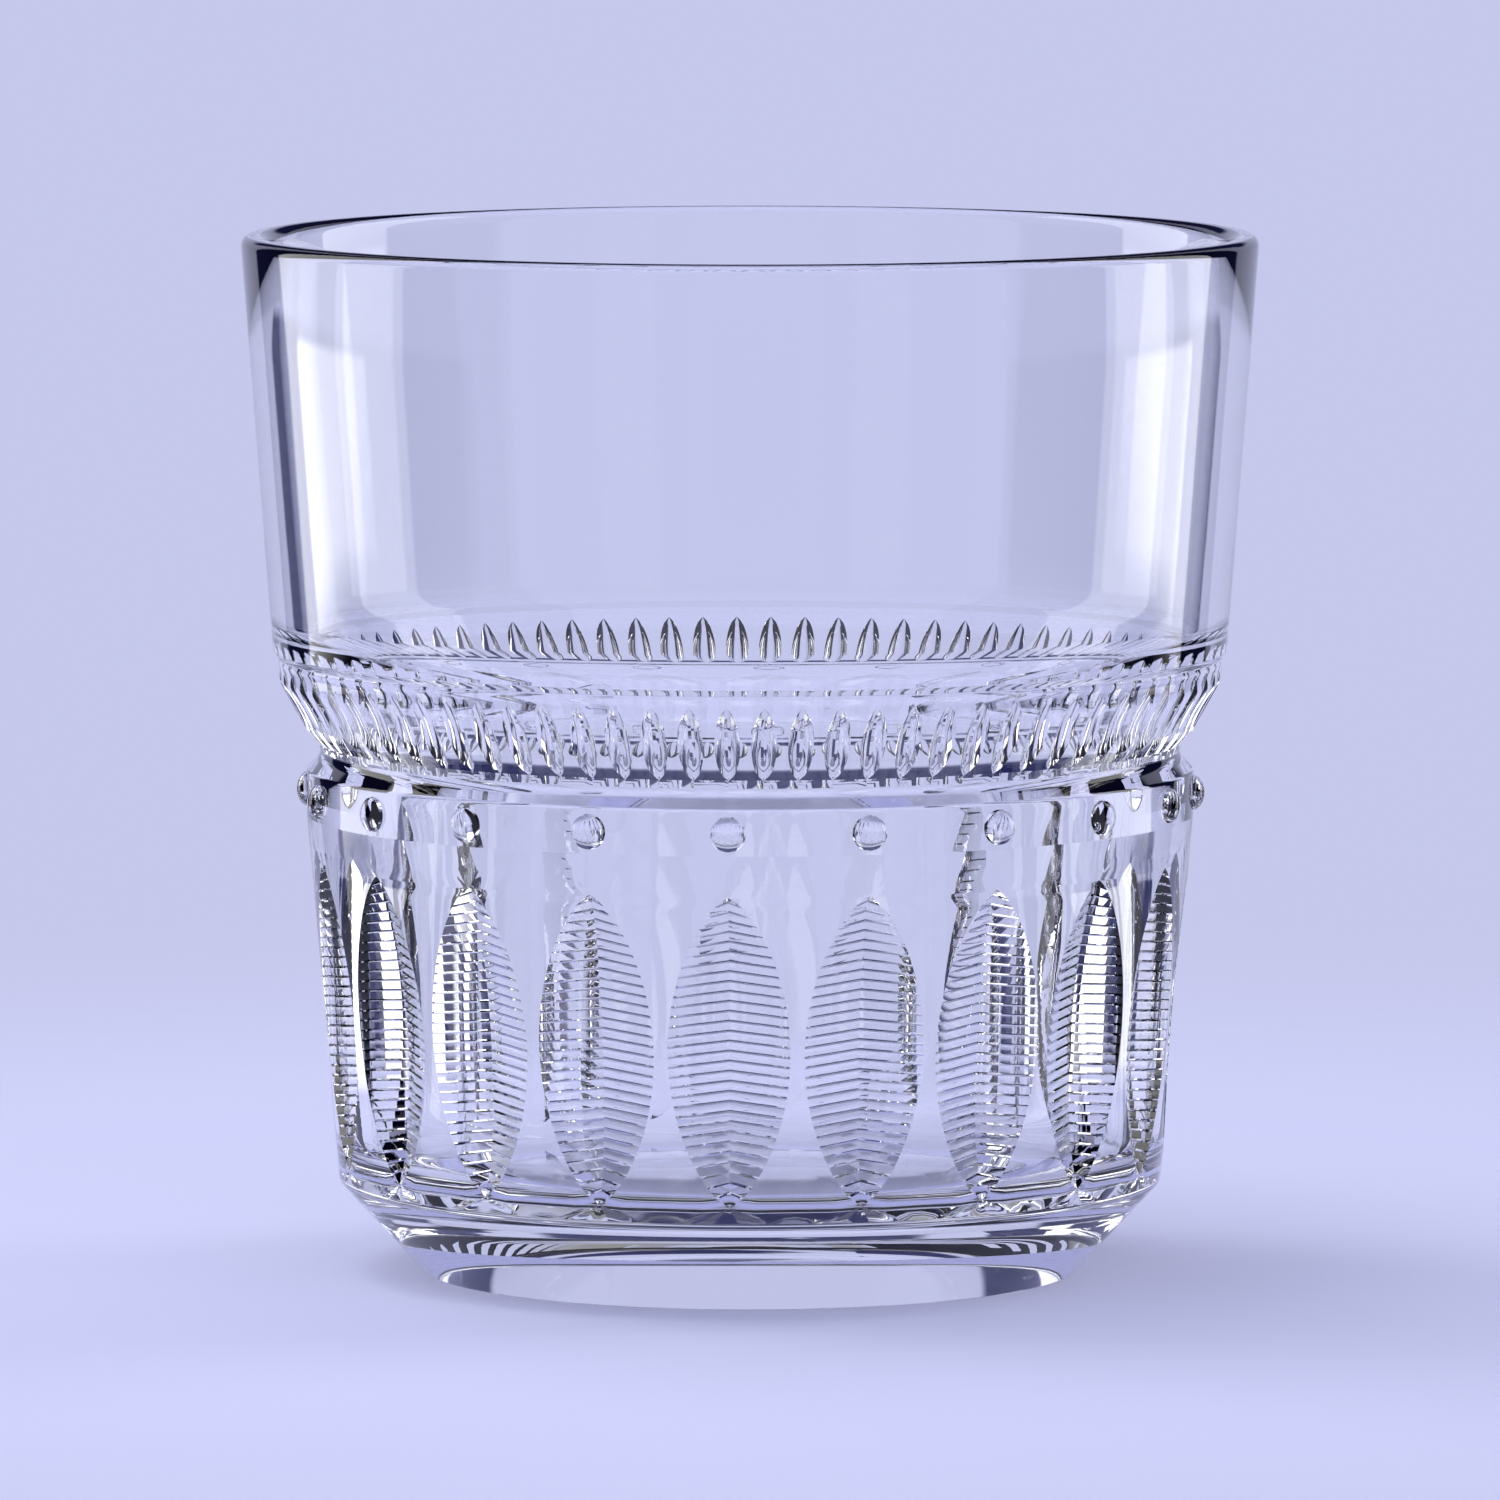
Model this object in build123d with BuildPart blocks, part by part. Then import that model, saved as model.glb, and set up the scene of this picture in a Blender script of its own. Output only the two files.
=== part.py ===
from build123d import *
import math
import os

# Pressed glass stacking tumbler, standing on z = 0 with its axis on Z.
# One leaf faces -Y. The glass is one pressing, divided here into the zones that it shows.
# All lengths are in millimetres and all angles in degrees.

# Driving dimensions
HEIGHT = 92.0
RIM_RADIUS = 45.05
RIM_WALL = 2.6
FOOT_RADIUS = 29.0
HEEL_RADIUS = 36.5
COLLAR_RADIUS = 39.3
NECK_RADIUS = 38.1
SHOULDER_RADIUS = 41.7
SEAT_RADIUS = 39.7
FLOOR_HEIGHT = 9.1
RECESS_DEPTH = 0.8
LEAF_COUNT = 20
LEAF_LENGTH = 27.2
LEAF_WIDTH = 10.6
LEAF_DEPTH = 1.9
LEAF_CENTRE_HEIGHT = 23.5
LEAF_RIBS = 31
RIB_BACKING = 0.35
RIB_RELIEF = 0.22
RIB_BORDER = 0.25
FLUTES_PER_LEAF = 4
FLUTE_DEPTH = 0.75
FLUTE_WIDTH = 2.2
FLUTE_TOP = 53.7
STUD_DIAMETER = 3.1
STUD_HEIGHT = 1.0

# Heights of the outside corners
HEEL_HEIGHT = 8.1
WALL_TOP = 40.7
COLLAR_TOP = 45.0
NECK_BOTTOM = 45.9
NECK_TOP = 47.0
FLARE_HEIGHT = 48.3
FLARE_RADIUS = 39.3
SHOULDER_TOP = 52.6
STEP_BOTTOM = 54.7
STEP_TOP = 55.3
STEP_RADIUS = 41.85
UPPER_RADIUS = 42.25

# Inside corners
SEAT_TOP = 56.8
SEAT_BOTTOM = 50.5
CUP_TOP_RADIUS = 35.7
TAPER_HEIGHT = 36.0
TAPER_RADIUS = 34.2
CUP_FLOOR_RADIUS = 33.6
RECESS_RADIUS = 24.2
RING_INNER_RADIUS = 25.0

# Heights where one zone ends and the next begins
HEEL_SPLIT = 8.3
NECK_SPLIT = 46.45
LIP_SPLIT = 90.8
FLOOR_PIECE_RADIUS = 28.6
PROFILE_MARGIN = 5.0

os.makedirs("parts", exist_ok=True)

# The section of the whole glass, from the axis under the foot, round the rim, to the axis on the floor.
section_corners = [
    (0, RECESS_DEPTH),
    (RECESS_RADIUS, RECESS_DEPTH),
    (RING_INNER_RADIUS, 0),
    (FOOT_RADIUS, 0),
    (HEEL_RADIUS, HEEL_HEIGHT),
    (COLLAR_RADIUS, WALL_TOP),
    (COLLAR_RADIUS, COLLAR_TOP),
    (NECK_RADIUS, NECK_BOTTOM),
    (NECK_RADIUS, NECK_TOP),
    (FLARE_RADIUS, FLARE_HEIGHT),
    (SHOULDER_RADIUS, SHOULDER_TOP),
    (STEP_RADIUS, STEP_BOTTOM),
    (UPPER_RADIUS, STEP_TOP),
    (RIM_RADIUS, HEIGHT),
    (RIM_RADIUS - RIM_WALL, HEIGHT),
    (SEAT_RADIUS, SEAT_TOP),
    (CUP_TOP_RADIUS, SEAT_BOTTOM),
    (TAPER_RADIUS, TAPER_HEIGHT),
    (CUP_FLOOR_RADIUS, FLOOR_HEIGHT),
    (0, FLOOR_HEIGHT),
]
corner_radii = [
    0.3, 0.3, 0.4, 1.2, 0.8, 1.0, 0.8, 0.8, 1.0, 1.2, 0.3, 0.2, 0.9, 1.2, 6.0, 8.0, 12.0, 4.0,
]
with BuildSketch(Plane.XZ) as glass_section:
    with BuildLine():
        outline = FilletPolyline(*section_corners, radius=corner_radii)
        Line(outline @ 1, outline @ 0)
    make_face()


def ring_between(low, high, inner=0.0, outer=RIM_RADIUS + PROFILE_MARGIN):
    """Section of the glass between two heights and two radii."""
    with BuildSketch(Plane.XZ) as band:
        add(glass_section.sketch)
        with Locations(((inner + outer) / 2, (low + high) / 2)):
            Rectangle(outer - inner, high - low, mode=Mode.INTERSECT)
    return band.sketch


# Plain zones of revolution
with BuildPart() as rim_lip:
    add(ring_between(LIP_SPLIT, HEIGHT))
    revolve(axis=Axis.Z)

with BuildPart() as upper_wall:
    add(ring_between(STEP_TOP, LIP_SPLIT))
    revolve(axis=Axis.Z)

with BuildPart() as collar_band:
    add(ring_between(WALL_TOP, NECK_SPLIT))
    revolve(axis=Axis.Z)

with BuildPart() as cup_floor:
    add(ring_between(HEEL_SPLIT, FLOOR_HEIGHT, outer=FLOOR_PIECE_RADIUS))
    revolve(axis=Axis.Z)

with BuildPart() as sham_base:
    add(ring_between(RECESS_DEPTH, HEEL_SPLIT))
    revolve(axis=Axis.Z)

with BuildPart() as foot_ring:
    add(ring_between(0, RECESS_DEPTH))
    revolve(axis=Axis.Z)


def mitre_wheel(middle, slope, depth, length, width, bulge):
    """A grinding wheel with a V edge: it sinks a pointed groove of this length and width into a wall.

    middle is (radius, height) on the wall, slope the wall's lean outwards going up, and bulge how far
    the curved wall falls away at half the groove's width."""
    wheel_radius = (length / 2) ** 2 / (2 * depth)
    flank = (depth - bulge) / (width / 2)
    lean = math.radians(slope)
    reach = wheel_radius - depth
    centre = (middle[0] + reach * math.cos(lean), middle[1] - reach * math.sin(lean))
    wheel_plane = Plane(
        origin=(centre[0], 0, centre[1]),
        x_dir=(-math.cos(lean), 0, math.sin(lean)),
        z_dir=(math.sin(lean), 0, math.cos(lean)),
    )
    with BuildPart() as wheel:
        with BuildSketch(wheel_plane):
            with BuildLine():
                Polyline(
                    (0, -width),
                    (wheel_radius - flank * width, -width),
                    (wheel_radius, 0),
                    (wheel_radius - flank * width, width),
                    (0, width),
                    close=True,
                )
            make_face()
        revolve(axis=Axis(wheel_plane.origin, wheel_plane.y_dir))
    return wheel.part


# Fluted shoulder: a ring of short pointed grooves down its cone
flute_low = (NECK_RADIUS, NECK_TOP)
flute_high = (SHOULDER_RADIUS, FLUTE_TOP)
flute_run = flute_high[0] - flute_low[0]
flute_rise = flute_high[1] - flute_low[1]
flute_chord = math.hypot(flute_run, flute_rise)
flute_slope = math.degrees(math.atan2(flute_run, flute_rise))
flute_middle = ((flute_low[0] + flute_high[0]) / 2, (flute_low[1] + flute_high[1]) / 2)
flute_cutter = mitre_wheel(flute_middle, flute_slope, FLUTE_DEPTH, flute_chord, FLUTE_WIDTH, 0.0)
with BuildPart() as fluted_shoulder:
    add(ring_between(NECK_SPLIT, STEP_TOP))
    revolve(axis=Axis.Z)
    with PolarLocations(0, FLUTES_PER_LEAF * LEAF_COUNT, start_angle=-90):
        add(flute_cutter, mode=Mode.SUBTRACT)

# Studs: low domes that stand on the collar band
dome_radius = ((STUD_DIAMETER / 2) ** 2 + STUD_HEIGHT**2) / (2 * STUD_HEIGHT)
stud_height = (WALL_TOP + COLLAR_TOP) / 2
with BuildPart() as one_stud:
    with Locations((COLLAR_RADIUS + STUD_HEIGHT - dome_radius, 0, stud_height)):
        Sphere(dome_radius)
    with Locations((0, 0, stud_height)):
        Cylinder(COLLAR_RADIUS, COLLAR_TOP, mode=Mode.SUBTRACT)
with BuildPart() as bead_studs:
    with PolarLocations(0, LEAF_COUNT, start_angle=-90):
        add(one_stud.part)

# Leaf cuts: a V wheel sinks a pocket into the wall, and a thin ribbed face lies in the pocket
leaf_slope = math.degrees(math.atan2(COLLAR_RADIUS - HEEL_RADIUS, WALL_TOP - HEEL_HEIGHT))
leaf_lean = math.radians(leaf_slope)
leaf_radius = HEEL_RADIUS + (LEAF_CENTRE_HEIGHT - HEEL_HEIGHT) * math.tan(leaf_lean)
leaf_middle = (leaf_radius, LEAF_CENTRE_HEIGHT)
leaf_bulge = leaf_radius - math.sqrt(leaf_radius**2 - (LEAF_WIDTH / 2) ** 2)
pocket_cutter = mitre_wheel(
    leaf_middle, leaf_slope, LEAF_DEPTH + RIB_BACKING, LEAF_LENGTH, LEAF_WIDTH, leaf_bulge
)


def ribbed_arc(wheel_radius, reach, half_angle):
    """Zigzag of rib crests and grooves along the edge of a wheel that stands outside the wall."""
    centre = (leaf_middle[0] + reach * math.cos(leaf_lean), leaf_middle[1] - reach * math.sin(leaf_lean))
    points = []
    for step in range(2 * LEAF_RIBS + 1):
        angle = half_angle * (step / LEAF_RIBS - 1)
        radius = wheel_radius - RIB_RELIEF * (step % 2)
        across = radius * math.cos(angle)
        along = radius * math.sin(angle)
        points.append((
            centre[0] - across * math.cos(leaf_lean) + along * math.sin(leaf_lean),
            centre[1] + across * math.sin(leaf_lean) + along * math.cos(leaf_lean),
        ))
    return points


rib_half_length = LEAF_LENGTH / 2 - RIB_BORDER
rib_wheel_radius = rib_half_length**2 / (2 * LEAF_DEPTH)
rib_flank = (LEAF_DEPTH - leaf_bulge) / (LEAF_WIDTH / 2 - RIB_BORDER)
rib_half_angle = math.asin(rib_half_length / rib_wheel_radius)
rib_line = ribbed_arc(rib_wheel_radius, rib_wheel_radius - LEAF_DEPTH, rib_half_angle)
clearance = 2 * LEAF_DEPTH
outside_line = [(x + clearance, z) for x, z in (rib_line[-1], rib_line[0])]
with BuildPart() as rib_cutter:
    with BuildSketch(Plane.XZ) as rib_profile:
        with BuildLine():
            Polyline(*rib_line, *outside_line, close=True)
        make_face()
    for side in (1, -1):
        flank_direction = (rib_flank * math.cos(leaf_lean), side, -rib_flank * math.sin(leaf_lean))
        extrude(rib_profile.sketch, amount=LEAF_WIDTH, dir=flank_direction)

with BuildPart() as one_leaf:
    add(ring_between(HEEL_SPLIT, WALL_TOP, inner=FLOOR_PIECE_RADIUS))
    revolve(axis=Axis.Z)
    add(pocket_cutter, mode=Mode.INTERSECT)
    add(rib_cutter.part, mode=Mode.SUBTRACT)
with BuildPart() as leaf_panels:
    with PolarLocations(0, LEAF_COUNT, start_angle=-90):
        add(one_leaf.part)

with BuildPart() as lower_wall:
    add(ring_between(HEEL_SPLIT, WALL_TOP, inner=FLOOR_PIECE_RADIUS))
    revolve(axis=Axis.Z)
    with PolarLocations(0, LEAF_COUNT, start_angle=-90):
        add(pocket_cutter, mode=Mode.SUBTRACT)

rim_lip.part.label = "rim_lip"
upper_wall.part.label = "upper_wall"
fluted_shoulder.part.label = "fluted_shoulder"
collar_band.part.label = "collar_band"
bead_studs.part.label = "bead_studs"
lower_wall.part.label = "lower_wall"
leaf_panels.part.label = "leaf_panels"
cup_floor.part.label = "cup_floor"
sham_base.part.label = "sham_base"
foot_ring.part.label = "foot_ring"

export_step(rim_lip.part, "parts/rim_lip.step")
export_step(upper_wall.part, "parts/upper_wall.step")
export_step(fluted_shoulder.part, "parts/fluted_shoulder.step")
export_step(collar_band.part, "parts/collar_band.step")
export_step(bead_studs.part, "parts/bead_studs.step")
export_step(lower_wall.part, "parts/lower_wall.step")
export_step(leaf_panels.part, "parts/leaf_panels.step")
export_step(cup_floor.part, "parts/cup_floor.step")
export_step(sham_base.part, "parts/sham_base.step")
export_step(foot_ring.part, "parts/foot_ring.step")
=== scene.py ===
import math

import bmesh
import bpy
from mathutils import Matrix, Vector


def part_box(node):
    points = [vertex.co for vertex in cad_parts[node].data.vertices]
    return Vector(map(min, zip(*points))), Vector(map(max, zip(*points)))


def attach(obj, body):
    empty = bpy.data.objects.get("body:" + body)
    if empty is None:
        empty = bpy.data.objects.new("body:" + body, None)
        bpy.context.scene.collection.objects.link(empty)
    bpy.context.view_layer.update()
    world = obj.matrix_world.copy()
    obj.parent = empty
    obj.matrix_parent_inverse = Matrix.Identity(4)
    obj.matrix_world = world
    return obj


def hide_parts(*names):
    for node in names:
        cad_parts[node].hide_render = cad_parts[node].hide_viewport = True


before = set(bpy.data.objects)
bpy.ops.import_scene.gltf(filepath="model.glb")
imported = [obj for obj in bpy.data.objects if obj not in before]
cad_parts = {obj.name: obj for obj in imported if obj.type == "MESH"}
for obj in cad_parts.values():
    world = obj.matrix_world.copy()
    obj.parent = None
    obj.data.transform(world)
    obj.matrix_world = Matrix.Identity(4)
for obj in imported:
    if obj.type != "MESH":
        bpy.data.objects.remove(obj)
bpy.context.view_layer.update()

# Pressed glass tumbler. The whole glass is one closed mesh, built ring by ring from the middle of the
# underside, up the outside, over the rim and down the inside to the middle of the floor.
# Lengths in the shape part are in millimetres; MM turns them into Blender's metres.
MM = 0.001
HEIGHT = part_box("rim_lip")[1].z / MM
RIM_RADIUS = 45.05
COLLAR_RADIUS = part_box("collar_band")[1].x / MM
FOOT_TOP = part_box("foot_ring")[1].z / MM
FLOOR_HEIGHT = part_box("cup_floor")[1].z / MM
WALL_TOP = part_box("collar_band")[0].z / MM
NECK_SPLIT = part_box("collar_band")[1].z / MM

RIM_WALL = 2.6
FOOT_RADIUS = 29.0
HEEL_RADIUS = 36.5
HEEL_HEIGHT = 8.1
COLLAR_TOP = 44.7
NECK_RADIUS = 38.1
NECK_BOTTOM = 45.9
NECK_TOP = 46.9
FLARE_RADIUS = 39.3
FLARE_HEIGHT = 48.3
SHOULDER_RADIUS = 41.7
SHOULDER_TOP = 52.6
STEP_RADIUS = 41.85
STEP_BOTTOM = 54.7
STEP_TOP = 55.3
UPPER_RADIUS = 42.25
SEAT_RADIUS = 39.7
SEAT_TOP = 56.8
SEAT_BOTTOM = 50.5
CUP_TOP_RADIUS = 35.7
TAPER_HEIGHT = 36.0
TAPER_RADIUS = 34.2
CUP_FLOOR_RADIUS = 33.6
RECESS_RADIUS = 24.2
RING_INNER_RADIUS = 25.0
CENTRE_RADIUS = 8.0
RECESS_RING_RADIUS = 16.0
LEDGE_MARGIN = 0.5
WALL_MARGIN = 0.4

LEAF_COUNT = 20
LEAF_LOW = 9.9
LEAF_HIGH = 37.1
LEAF_WIDTH = 10.6
LEAF_DEPTH = 1.9
LEAF_FULLNESS = 0.72
TIP_HALF_WIDTH = 0.08
TIP_FADE = 0.8
LEAF_RIBS = 31
GROOVE_DEPTH = 0.17
GROOVE_HALF = 0.13
RIB_CROWN = 0.035
RIB_CHEVRON = 0.45
POCKET_MARGIN = 0.3
FLUTES_PER_LEAF = 4
FLUTE_LOW = 47.2
FLUTE_HIGH = 53.7
FLUTE_DEPTH = 0.62
FLUTE_FILL = 0.70
FLUTE_FULLNESS = 0.62
FLUTE_ROUND = 2.0
STUD_RADIUS = 1.55
STUD_HEIGHT = 1.0
STUD_FOOT = 1.12
STUD_CLEARANCE = 2.0

# Mesh resolution
CORNER_STEPS = 5
TURNED_STEPS = 6
LONGEST_RUN = 9.0
DOME_ANGLES = (18, 36, 54, 72)
HALF_COLUMNS = 8
LEAF_COLUMNS = 5
STUD_COLUMNS = 4
RIB_ROWS = (0.0, GROOVE_HALF, 0.5, 1 - GROOVE_HALF)
STUD_ROWS = 8
FLUTE_ROWS = 14
FLUTE_HALF_COLUMNS = 5
FLUTE_CUT_COLUMNS = 4
SHARP_ANGLE = math.radians(20)

# Studio. Angles in degrees: sideways from the backdrop's middle, and up from the horizon. The values
# were set for the look of the glass; they do not measure a real room.
LAVENDER = (0.56, 0.58, 0.83)
DARK = (0.018, 0.02, 0.09)
GAP_SIDES = (34, 112)
GAP_RISE = (-11, 95)
HEADER_SIDES = (-1, 20)
HEADER_RISE = (14, 58)
SOFTBOXES = ((50, 76, 2.2), (-78, -50, 2.2))
SOFTBOX_RISE = (-9, 50)
TOP_RISE = (60, 95)
TOP_LIGHT = 0.3

# Table and lamp; lengths in metres, the lamp's power in watts
FLOOR_COLOUR = (0.60, 0.615, 0.84)
FLOOR_GLOW = 0.30
FLOOR_RADIUS = 0.32
FLOOR_FADE = (0.07, 0.30)
LAMP_PLACE = (-0.25, 0.1, 0.85)
LAMP_SIZE = 0.7
LAMP_POWER = 3.1

# Camera; lengths in metres, the lens in millimetres
CAMERA_DISTANCE = 1.28
CAMERA_HEIGHT = 0.168
CAMERA_SIDE = math.radians(2.77)
AIM_HEIGHT = 0.0462
LENS = 348.0
LIGHT_BOUNCES = 24

FIRST_ANGLE = -math.pi / 2
PITCH = 2 * math.pi / LEAF_COUNT
RIB_PITCH = (LEAF_HIGH - LEAF_LOW) / LEAF_RIBS
WALL_SLOPE = (COLLAR_RADIUS - HEEL_RADIUS) / (WALL_TOP - HEEL_HEIGHT)


def wall_radius(height):
    """Radius of the lower wall's outside at a height."""
    return HEEL_RADIUS + WALL_SLOPE * (height - HEEL_HEIGHT)


def rounded(corners, radii, steps):
    """Points (radius, height) along a line through the corners, each inner corner rounded by an arc."""
    points = [Vector(corners[0])]
    for before, corner, after, radius in zip(corners, corners[1:], corners[2:], radii):
        corner = Vector(corner)
        back = (Vector(before) - corner).normalized()
        ahead = (Vector(after) - corner).normalized()
        half = back.angle(ahead) / 2
        centre = corner + (back + ahead).normalized() * radius / math.sin(half)
        start = corner + back * radius / math.tan(half) - centre
        end = corner + ahead * radius / math.tan(half) - centre
        turn = math.atan2(start.x * end.y - start.y * end.x, start.dot(end))
        for step in range(steps + 1):
            angle = math.atan2(start.y, start.x) + turn * step / steps
            points.append(centre + Vector((math.cos(angle), math.sin(angle))) * radius)
    points.append(Vector(corners[-1]))
    return points


class GlassMesh:
    """Vertices and faces of a surface made ring by ring."""

    def __init__(self):
        self.vertices = []
        self.faces = []

    def ring(self, points):
        first = len(self.vertices)
        self.vertices.extend(points)
        return list(range(first, len(self.vertices)))

    def strip(self, below, above, skip=()):
        count = len(below)
        for i in range(count):
            j = (i + 1) % count
            if i not in skip:
                self.faces.append((below[i], below[j], above[j], above[i]))

    def grow(self, below, points):
        """Adds a ring of points above another and joins the two; returns the new ring."""
        above = self.ring(points)
        self.strip(below, above)
        return above

    def fan(self, ring, apex):
        for i, vertex in enumerate(ring):
            self.faces.append((vertex, ring[(i + 1) % len(ring)], apex))

    def angle(self, index):
        """Angle of a vertex round the glass, from the first leaf's axis."""
        x, y, _ = self.vertices[index]
        return (math.atan2(y, x) - FIRST_ANGLE + 1e-9) % (2 * math.pi)

    def zip_rings(self, below, above):
        """Joins two rings that have different numbers of points."""
        rows = []
        for ring in (below, above):
            first = min(range(len(ring)), key=lambda i: self.angle(ring[i]))
            turned = ring[first:] + ring[:first]
            angles = [self.angle(i) for i in turned]
            rows.append((turned + turned[:1], angles[1:] + [angles[0] + 2 * math.pi]))
        (lower, lower_next), (upper, upper_next) = rows
        i = j = 0
        while i < len(lower_next) or j < len(upper_next):
            step_lower = j == len(upper_next) or (i < len(lower_next) and lower_next[i] <= upper_next[j])
            if step_lower:
                self.faces.append((lower[i], lower[i + 1], upper[j]))
                i += 1
            else:
                self.faces.append((lower[i], upper[j + 1], upper[j]))
                j += 1


def polar(radius, angle, height):
    return (radius * math.cos(angle), radius * math.sin(angle), height)


def round_ring(radius, height):
    """Evenly spaced points on a circle."""
    count = 2 * HALF_COLUMNS * LEAF_COUNT
    first = FIRST_ANGLE - PITCH / 2
    return [polar(radius, first + PITCH * i / (2 * HALF_COLUMNS), height) for i in range(count)]


def sector_columns():
    """(angle of the leaf's axis, column number from it) for every point of a ring."""
    for leaf in range(LEAF_COUNT):
        for column in range(-HALF_COLUMNS, HALF_COLUMNS):
            yield FIRST_ANGLE + PITCH * leaf, column


def leaf_ring(height, groove_depth, chevron):
    """A ring through the lower wall: a V pocket with ribbed flanks in each sector, plain wall between."""
    middle = (LEAF_LOW + LEAF_HIGH) / 2
    along = (height - middle) / (LEAF_HIGH - middle)
    outline = max(0.0, 1 - along * along) ** LEAF_FULLNESS
    half_width = max(TIP_HALF_WIDTH, LEAF_WIDTH / 2 * outline)
    radius = wall_radius(height)
    edge = math.asin(half_width / radius)
    depth = LEAF_DEPTH * outline
    rib = (height - LEAF_LOW) / RIB_PITCH
    groove = groove_depth * max(0.0, 1 - abs(rib - round(rib)) / GROOVE_HALF)
    crown = RIB_CROWN * groove_depth / GROOVE_DEPTH * (abs(rib % 1 - 0.5) < 0.1)
    fade = min(1.0, half_width / TIP_FADE)
    points = []
    for axis, column in sector_columns():
        share = abs(column) / LEAF_COLUMNS
        if share <= 1:
            across = math.copysign(share * half_width, column)
            outward = radius - depth + (radius * math.cos(edge) - radius + depth) * share
            outward += (crown - groove) * fade * (share < 1)
            lift = chevron * (1 - share) * fade
            angle = axis + math.atan2(across, outward)
            points.append(polar(math.hypot(across, outward), angle, height + lift))
        else:
            beyond = (abs(column) - LEAF_COLUMNS) / (HALF_COLUMNS - LEAF_COLUMNS)
            angle = axis + math.copysign(edge + (PITCH / 2 - edge) * beyond, column)
            points.append(polar(radius, angle, height))
    return points


def gathered_ring(radius, height, half_angle, columns):
    """A circle whose first columns each side of a leaf's axis lie within a half angle of it."""
    points = []
    for axis, column in sector_columns():
        share = abs(column) / columns
        if share <= 1:
            offset = half_angle * share
        else:
            beyond = (abs(column) - columns) / (HALF_COLUMNS - columns)
            offset = half_angle + (PITCH / 2 - half_angle) * beyond
        points.append(polar(radius, axis + math.copysign(offset, column), height))
    return points


def blended_ring(radius, height, mix):
    """Between the columns of a leaf's tip (mix 0) and those of a stud (mix 1)."""
    tip = gathered_ring(radius, height, 0.1 / radius, LEAF_COLUMNS)
    stud = gathered_ring(radius, height, STUD_CLEARANCE / radius, STUD_COLUMNS)
    points = []
    for a, b in zip(tip, stud):
        x = a[0] + (b[0] - a[0]) * mix
        y = a[1] + (b[1] - a[1]) * mix
        scale = radius / math.hypot(x, y)
        points.append((x * scale, y * scale, height))
    return points


def add_stud(mesh, axis, border, height):
    """A low dome on the collar, joined to the border of the hole left for it."""
    count = len(border)
    x, y, z = mesh.vertices[border[0]]
    turn = (math.atan2(y, x) - axis + math.pi) % (2 * math.pi) - math.pi
    first = math.atan2(z - height, turn * COLLAR_RADIUS)
    levels = [(STUD_FOOT, 0.0), (1.0, 0.0)]
    levels += [(math.cos(math.radians(a)), math.sin(math.radians(a))) for a in DOME_ANGLES]
    previous = border
    for width, rise in levels:
        points = []
        for i in range(count):
            direction = first + 2 * math.pi * i / count
            angle = axis + STUD_RADIUS * width * math.cos(direction) / COLLAR_RADIUS
            up = STUD_RADIUS * width * math.sin(direction)
            points.append(polar(COLLAR_RADIUS + STUD_HEIGHT * rise, angle, height + up))
        previous = mesh.grow(previous, points)
    apex = mesh.ring([polar(COLLAR_RADIUS + STUD_HEIGHT, axis, height)])[0]
    mesh.fan(previous, apex)


def add_collar(mesh, below, low, high):
    """The upright band with its row of studs; returns the band's top ring."""
    rings = [below]
    skip = set()
    for i, (_, column) in enumerate(sector_columns()):
        if -STUD_COLUMNS <= column < STUD_COLUMNS:
            skip.add(i)
    for row in range(1, STUD_ROWS + 1):
        height = low + (high - low) * row / STUD_ROWS
        rings.append(mesh.ring(blended_ring(COLLAR_RADIUS, height, 1)))
        mesh.strip(rings[-2], rings[-1], skip)
    total = len(below)
    for leaf in range(LEAF_COUNT):
        middle = leaf * 2 * HALF_COLUMNS + HALF_COLUMNS
        left = (middle - STUD_COLUMNS) % total
        right = (middle + STUD_COLUMNS) % total
        border = [rings[0][i % total] for i in range(middle - STUD_COLUMNS, middle + STUD_COLUMNS)]
        border += [rings[row][right] for row in range(STUD_ROWS)]
        border += [rings[-1][i % total] for i in range(middle + STUD_COLUMNS, middle - STUD_COLUMNS, -1)]
        border += [rings[row][left] for row in range(STUD_ROWS, 0, -1)]
        add_stud(mesh, FIRST_ANGLE + PITCH * leaf, border, (low + high) / 2)
    return rings[-1]


def point_at(points, distance):
    """Point at a distance along a line of points."""
    for a, b in zip(points, points[1:]):
        length = (b - a).length
        if distance <= length:
            return a + (b - a) * distance / length
        distance -= length
    return points[-1]


def distance_at_height(points, height):
    """Distance along a rising line of points where it reaches a height."""
    total = 0.0
    for a, b in zip(points, points[1:]):
        if b.y >= height:
            return total + (b - a).length * (height - a.y) / (b.y - a.y)
        total += (b - a).length
    return total


def flute_ring(point, along, chord_start, outward):
    """A ring through the flutes: pointed grooves sunk to a curved keel under the shoulder."""
    outline = max(0.0, 1 - along * along)
    keel = -FLUTE_DEPTH * outline
    depth = max(0.0, (point - chord_start).dot(outward) - keel) if outline > 0 else 0.0
    flute_pitch = PITCH / FLUTES_PER_LEAF
    half_angle = max(0.05 / point.x, FLUTE_FILL * flute_pitch / 2 * outline ** FLUTE_FULLNESS)
    points = []
    for flute in range(LEAF_COUNT * FLUTES_PER_LEAF):
        axis = FIRST_ANGLE + flute_pitch * flute
        for column in range(-FLUTE_HALF_COLUMNS, FLUTE_HALF_COLUMNS):
            share = abs(column) / FLUTE_CUT_COLUMNS
            if share <= 1:
                sunk = depth * (1 - share ** FLUTE_ROUND)
                offset = half_angle * share
            else:
                beyond = (abs(column) - FLUTE_CUT_COLUMNS) / (FLUTE_HALF_COLUMNS - FLUTE_CUT_COLUMNS)
                sunk = 0.0
                offset = half_angle + (flute_pitch / 2 - half_angle) * beyond
            place = point - outward * sunk
            points.append(polar(place.x, axis + math.copysign(offset, column), place.y))
    return points


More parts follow.
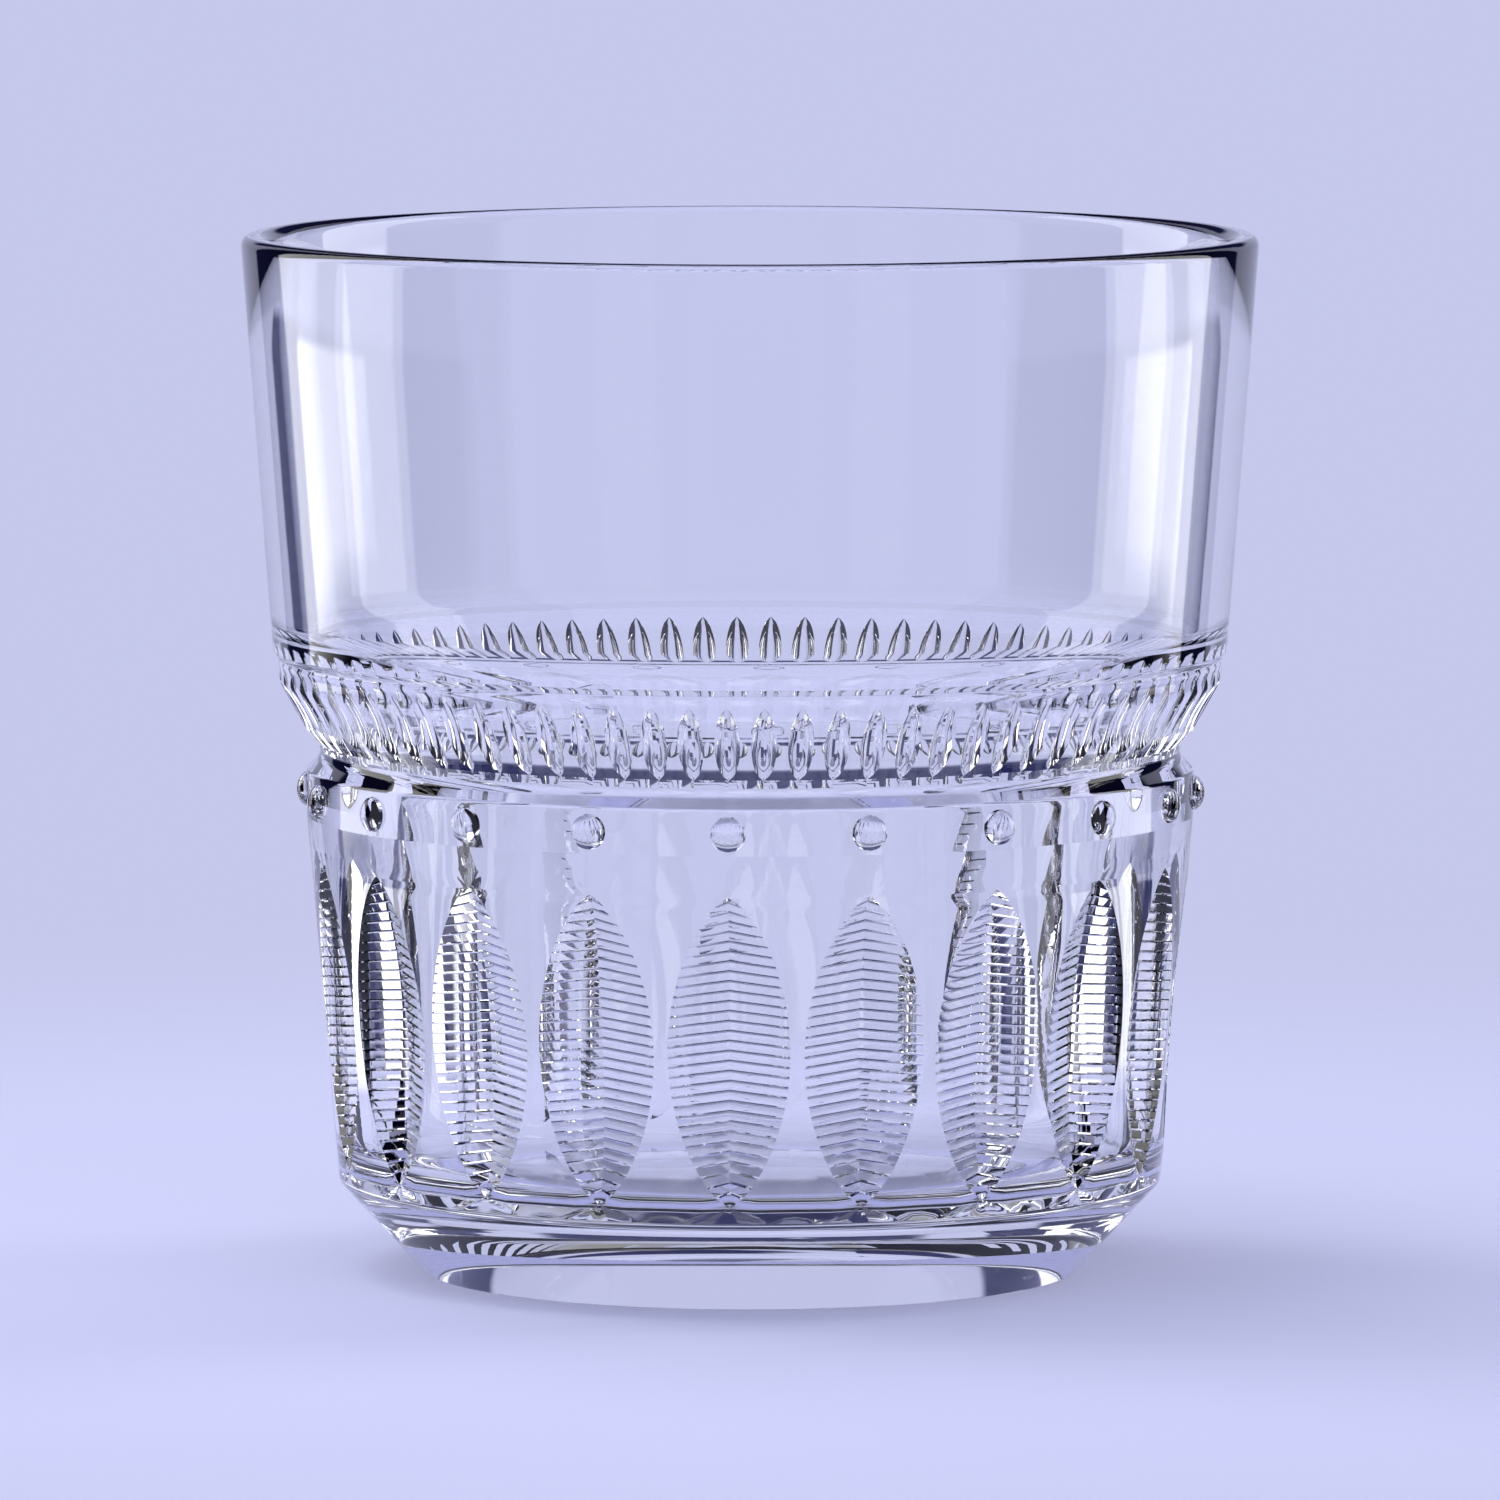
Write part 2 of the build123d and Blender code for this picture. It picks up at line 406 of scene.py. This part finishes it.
def add_shoulder(mesh, below):
    """The fluted cone above the neck; returns its last ring."""
    line = rounded(
        [
            (NECK_RADIUS, NECK_SPLIT),
            (NECK_RADIUS, NECK_TOP),
            (FLARE_RADIUS, FLARE_HEIGHT),
            (SHOULDER_RADIUS, SHOULDER_TOP),
            (STEP_RADIUS, STEP_BOTTOM),
        ],
        [1.1, 1.0, 1.2],
        CORNER_STEPS,
    )
    low = distance_at_height(line, FLUTE_LOW)
    high = distance_at_height(line, FLUTE_HIGH)
    chord_start = point_at(line, low)
    chord = (point_at(line, high) - chord_start).normalized()
    outward = Vector((chord.y, -chord.x))
    shares = [row / FLUTE_ROWS for row in range(FLUTE_ROWS + 1)]
    distances = [0.02] + [low + (high - low) * share for share in shares]
    distances.append(high + (distance_at_height(line, STEP_BOTTOM) - high) / 2)
    previous = None
    for distance in distances:
        along = 2 * (distance - low) / (high - low) - 1
        current = mesh.ring(flute_ring(point_at(line, distance), along, chord_start, outward))
        if previous is None:
            mesh.zip_rings(below, current)
        else:
            mesh.strip(previous, current)
        previous = current
    return previous


def subdivided(points, longest):
    """The same line with its long runs divided."""
    result = []
    for a, b in zip(points, points[1:]):
        pieces = max(1, math.ceil((b - a).length / longest))
        result += [a + (b - a) * i / pieces for i in range(pieces)]
    return result + [points[-1]]


def build_glass(groove_depth, chevron):
    """The whole glass as one closed surface."""
    mesh = GlassMesh()
    centre = mesh.ring([(0, 0, FOOT_TOP)])[0]
    first = mesh.ring(round_ring(CENTRE_RADIUS, FOOT_TOP))
    for i, vertex in enumerate(first):
        mesh.faces.append((centre, first[(i + 1) % len(first)], vertex))
    foot = rounded(
        [
            (RECESS_RING_RADIUS, FOOT_TOP),
            (RECESS_RADIUS, FOOT_TOP),
            (RING_INNER_RADIUS, 0),
            (FOOT_RADIUS, 0),
            (HEEL_RADIUS, HEEL_HEIGHT),
            (COLLAR_RADIUS, WALL_TOP),
        ],
        [0.3, 0.3, 0.4, 1.2],
        TURNED_STEPS,
    )
    previous = first
    for point in foot[:-1]:
        previous = mesh.grow(previous, round_ring(point.x, point.y))

    rows = [LEAF_LOW + RIB_PITCH * (rib + share) for rib in range(LEAF_RIBS) for share in RIB_ROWS]
    for height in rows + [LEAF_HIGH]:
        previous = mesh.grow(previous, leaf_ring(height, groove_depth, chevron))
    for step in range(1, 5):
        height = LEAF_HIGH + (WALL_TOP - LEDGE_MARGIN - LEAF_HIGH) * step / 4
        previous = mesh.grow(previous, blended_ring(wall_radius(height), height, min(1.0, step / 3)))

    collar = rounded(
        [
            (wall_radius(WALL_TOP - LEDGE_MARGIN), WALL_TOP - LEDGE_MARGIN),
            (COLLAR_RADIUS, WALL_TOP),
            (COLLAR_RADIUS, COLLAR_TOP),
            (NECK_RADIUS, NECK_BOTTOM),
            (NECK_RADIUS, NECK_SPLIT),
        ],
        [0.8, 0.5, 1.2],
        CORNER_STEPS,
    )
    ledge, bevel = collar[1 : CORNER_STEPS + 2], collar[CORNER_STEPS + 2 :]
    for point in ledge:
        previous = mesh.grow(previous, blended_ring(point.x, point.y, 1))
    previous = add_collar(mesh, previous, ledge[-1].y, bevel[0].y)
    for point in bevel[1:]:
        previous = mesh.grow(previous, blended_ring(point.x, point.y, 1))
    previous = add_shoulder(mesh, previous)

    wall = rounded(
        [
            (STEP_RADIUS, STEP_BOTTOM - WALL_MARGIN),
            (STEP_RADIUS, STEP_BOTTOM),
            (UPPER_RADIUS, STEP_TOP),
            (RIM_RADIUS, HEIGHT),
            (RIM_RADIUS - RIM_WALL, HEIGHT),
            (SEAT_RADIUS, SEAT_TOP),
            (CUP_TOP_RADIUS, SEAT_BOTTOM),
            (TAPER_RADIUS, TAPER_HEIGHT),
            (CUP_FLOOR_RADIUS, FLOOR_HEIGHT),
            (CENTRE_RADIUS, FLOOR_HEIGHT),
        ],
        [0.3, 0.2, 0.9, 1.2, 6.0, 8.0, 12.0, 4.0],
        TURNED_STEPS,
    )
    wall = subdivided(wall, LONGEST_RUN)
    current = mesh.ring(round_ring(wall[0].x, wall[0].y))
    mesh.zip_rings(previous, current)
    previous = current
    for point in wall[1:]:
        previous = mesh.grow(previous, round_ring(point.x, point.y))
    mesh.fan(previous, mesh.ring([(0, 0, FLOOR_HEIGHT)])[0])
    return mesh


def mark_leaves(data):
    """Stores, on each face of a leaf, the normal that its flank has without ribs.

    Light that leaves the glass through a leaf is bent by that normal, so the ribs on the far side of the
    glass melt away as they do behind a lens focused on the near side."""
    plain = bpy.data.meshes.new("plain_leaves")
    surface = build_glass(0.0, 0.0)
    plain.from_pydata([Vector(vertex) * MM for vertex in surface.vertices], [], surface.faces)
    normals = []
    shares = []
    for face in plain.polygons:
        x, y, z = face.center / MM
        on_leaf = LEAF_LOW < z < LEAF_HIGH and math.hypot(x, y) > wall_radius(z) - LEAF_DEPTH - POCKET_MARGIN
        shares.append(1.0 if on_leaf else 0.0)
        normals += [-share for share in face.normal]
    bpy.data.meshes.remove(plain)
    data.attributes.new("flank_normal", "FLOAT_VECTOR", "FACE").data.foreach_set("vector", normals)
    data.attributes.new("leaf_share", "FLOAT", "FACE").data.foreach_set("value", shares)


def glass_object():
    """The glass as a Blender object, smooth except along its cut edges."""
    mesh = build_glass(GROOVE_DEPTH, RIB_CHEVRON)
    data = bpy.data.meshes.new("glass_body")
    data.from_pydata([Vector(vertex) * MM for vertex in mesh.vertices], [], mesh.faces)
    shape = bmesh.new()
    shape.from_mesh(data)
    for face in shape.faces:
        face.smooth = True
    for edge in shape.edges:
        if edge.calc_face_angle(0) > SHARP_ANGLE:
            edge.smooth = False
    shape.to_mesh(data)
    shape.free()
    mark_leaves(data)
    piece = bpy.data.objects.new("glass_body", data)
    bpy.context.scene.collection.objects.link(piece)
    return piece


def glass_material():
    """Clear soda-lime glass. Light that leaves it through a leaf is bent by the leaf's flank normal."""
    material = bpy.data.materials.new("clear_glass")
    material.use_nodes = True
    nodes = material.node_tree.nodes
    shader = nodes["Principled BSDF"]
    shader.inputs["Base Color"].default_value = (0.985, 0.99, 1.0, 1)
    shader.inputs["Transmission Weight"].default_value = 1.0
    shader.inputs["Roughness"].default_value = 0.0
    shader.inputs["IOR"].default_value = 1.52
    links = material.node_tree.links
    geometry = nodes.new("ShaderNodeNewGeometry")
    flank_normal = nodes.new("ShaderNodeAttribute")
    flank_normal.attribute_name = "flank_normal"
    leaf_share = nodes.new("ShaderNodeAttribute")
    leaf_share.attribute_name = "leaf_share"
    leaving = nodes.new("ShaderNodeMath")
    leaving.operation = "MULTIPLY"
    links.new(geometry.outputs["Backfacing"], leaving.inputs[0])
    links.new(leaf_share.outputs["Fac"], leaving.inputs[1])
    softened = nodes.new("ShaderNodeMix")
    softened.data_type = "VECTOR"
    links.new(leaving.outputs[0], softened.inputs["Factor"])
    links.new(geometry.outputs["Normal"], softened.inputs["A"])
    links.new(flank_normal.outputs["Vector"], softened.inputs["B"])
    links.new(softened.outputs["Result"], shader.inputs["Normal"])
    return material


def studio_world():
    """A lavender room with two tall white softboxes in dark gaps beside the backdrop and a dark header
    above it.

    The camera itself sees the plain lavender; only the glass and the floor see the room."""
    world = bpy.data.worlds.new("studio")
    bpy.context.scene.world = world
    world.use_nodes = True
    tree = world.node_tree
    nodes, links = tree.nodes, tree.links

    def math_node(operation, *values):
        node = nodes.new("ShaderNodeMath")
        node.operation = operation
        for socket, value in zip(node.inputs, values):
            if isinstance(value, (int, float)):
                socket.default_value = value
            else:
                links.new(value, socket)
        return node.outputs[0]

    def band(value, low, high, soft):
        """1 between low and high, fading to 0 over soft on each side."""
        rise = nodes.new("ShaderNodeMapRange")
        rise.interpolation_type = "SMOOTHSTEP"
        rise.inputs["From Min"].default_value = low - soft
        rise.inputs["From Max"].default_value = low
        links.new(value, rise.inputs["Value"])
        fall = nodes.new("ShaderNodeMapRange")
        fall.interpolation_type = "SMOOTHSTEP"
        fall.inputs["From Min"].default_value = high
        fall.inputs["From Max"].default_value = high + soft
        fall.inputs["To Min"].default_value = 1.0
        fall.inputs["To Max"].default_value = 0.0
        links.new(value, fall.inputs["Value"])
        return math_node("MULTIPLY", rise.outputs[0], fall.outputs[0])

    def mixed(factor, a, b):
        node = nodes.new("ShaderNodeMix")
        node.data_type = "RGBA"
        links.new(factor, node.inputs["Factor"])
        for socket, value in zip((node.inputs["A"], node.inputs["B"]), (a, b)):
            if isinstance(value, tuple):
                socket.default_value = (*value, 1)
            else:
                links.new(value, socket)
        return node.outputs["Result"]

    coordinates = nodes.new("ShaderNodeTexCoord")
    split = nodes.new("ShaderNodeSeparateXYZ")
    links.new(coordinates.outputs["Generated"], split.inputs[0])
    x, y, z = split.outputs
    flat = math_node("SQRT", math_node("ADD", math_node("MULTIPLY", x, x), math_node("MULTIPLY", y, y)))
    side = math_node("MULTIPLY", math_node("ARCTAN2", x, y), 180 / math.pi)
    rise = math_node("MULTIPLY", math_node("ARCTAN2", z, flat), 180 / math.pi)
    away = math_node("ABSOLUTE", side)

    colour = LAVENDER
    beside = math_node("MULTIPLY", band(away, *GAP_SIDES, 2), band(rise, *GAP_RISE, 3))
    above = math_node("MULTIPLY", band(away, *HEADER_SIDES, 4), band(rise, *HEADER_RISE, 4))
    gap = math_node("MAXIMUM", beside, above)
    colour = mixed(gap, colour, DARK)
    for low, high, brightness in SOFTBOXES:
        box = math_node("MULTIPLY", band(side, low, high, 1.5), band(rise, *SOFTBOX_RISE, 2))
        colour = mixed(box, colour, (brightness, brightness, brightness * 1.02))
    colour = mixed(band(rise, *TOP_RISE, 5), colour, (TOP_LIGHT, TOP_LIGHT, TOP_LIGHT))
    camera_ray = nodes.new("ShaderNodeLightPath").outputs["Is Camera Ray"]
    colour = mixed(camera_ray, colour, LAVENDER)
    links.new(colour, nodes["Background"].inputs["Color"])


def floor_material():
    """Pale lavender table top that fades into the backdrop behind the glass."""
    material = bpy.data.materials.new("pale_floor")
    material.use_nodes = True
    nodes, links = material.node_tree.nodes, material.node_tree.links
    shader = nodes["Principled BSDF"]
    shader.inputs["Base Color"].default_value = (*FLOOR_COLOUR, 1)
    shader.inputs["Roughness"].default_value = 0.85
    shader.inputs["Emission Color"].default_value = (*FLOOR_COLOUR, 1)
    shader.inputs["Emission Strength"].default_value = FLOOR_GLOW
    coordinates = nodes.new("ShaderNodeTexCoord")
    length = nodes.new("ShaderNodeVectorMath")
    length.operation = "LENGTH"
    links.new(coordinates.outputs["Object"], length.inputs[0])
    fade = nodes.new("ShaderNodeMapRange")
    fade.interpolation_type = "SMOOTHSTEP"
    fade.inputs["From Min"].default_value = FLOOR_FADE[0]
    fade.inputs["From Max"].default_value = FLOOR_FADE[1]
    links.new(length.outputs["Value"], fade.inputs["Value"])
    clear = nodes.new("ShaderNodeBsdfTransparent")
    mix = nodes.new("ShaderNodeMixShader")
    links.new(fade.outputs[0], mix.inputs[0])
    links.new(shader.outputs[0], mix.inputs[1])
    links.new(clear.outputs[0], mix.inputs[2])
    links.new(mix.outputs[0], nodes["Material Output"].inputs["Surface"])
    return material


def add_floor():
    """A round table top under the glass."""
    shape = bmesh.new()
    bmesh.ops.create_circle(shape, cap_ends=True, segments=96, radius=FLOOR_RADIUS)
    data = bpy.data.meshes.new("floor")
    shape.to_mesh(data)
    shape.free()
    floor = bpy.data.objects.new("floor", data)
    bpy.context.scene.collection.objects.link(floor)
    data.materials.append(floor_material())


def add_lamp():
    """A wide lamp high on the left: it lights the table and gives the glass its soft shadow."""
    light = bpy.data.lights.new("lamp", "AREA")
    light.shape = "SQUARE"
    light.size = LAMP_SIZE
    light.energy = LAMP_POWER
    light.color = (0.97, 0.98, 1.0)
    lamp = bpy.data.objects.new("lamp", light)
    bpy.context.scene.collection.objects.link(lamp)
    lamp.location = LAMP_PLACE
    lamp.rotation_euler = (-lamp.location).to_track_quat("-Z", "Y").to_euler()
    lamp.visible_transmission = False
    lamp.visible_glossy = False
    lamp.visible_camera = False


def add_camera():
    """A long lens a little above the rim, turned so that one leaf stands just left of the middle."""
    camera = bpy.data.objects.new("camera", bpy.data.cameras.new("camera"))
    bpy.context.scene.collection.objects.link(camera)
    x = CAMERA_DISTANCE * math.sin(CAMERA_SIDE)
    y = -CAMERA_DISTANCE * math.cos(CAMERA_SIDE)
    camera.location = (x, y, CAMERA_HEIGHT)
    aim = Vector((0, 0, AIM_HEIGHT)) - camera.location
    camera.rotation_euler = aim.to_track_quat("-Z", "Y").to_euler()
    camera.data.sensor_width = 36
    camera.data.lens = LENS
    bpy.context.scene.camera = camera


glass = glass_object()
glass.data.materials.append(glass_material())
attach(glass, "root")
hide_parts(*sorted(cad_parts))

studio_world()
add_floor()
add_lamp()
add_camera()

scene = bpy.context.scene
scene.view_settings.view_transform = "Standard"
scene.cycles.use_denoising = True
scene.cycles.max_bounces = LIGHT_BOUNCES
scene.cycles.transmission_bounces = LIGHT_BOUNCES
scene.cycles.transparent_max_bounces = LIGHT_BOUNCES
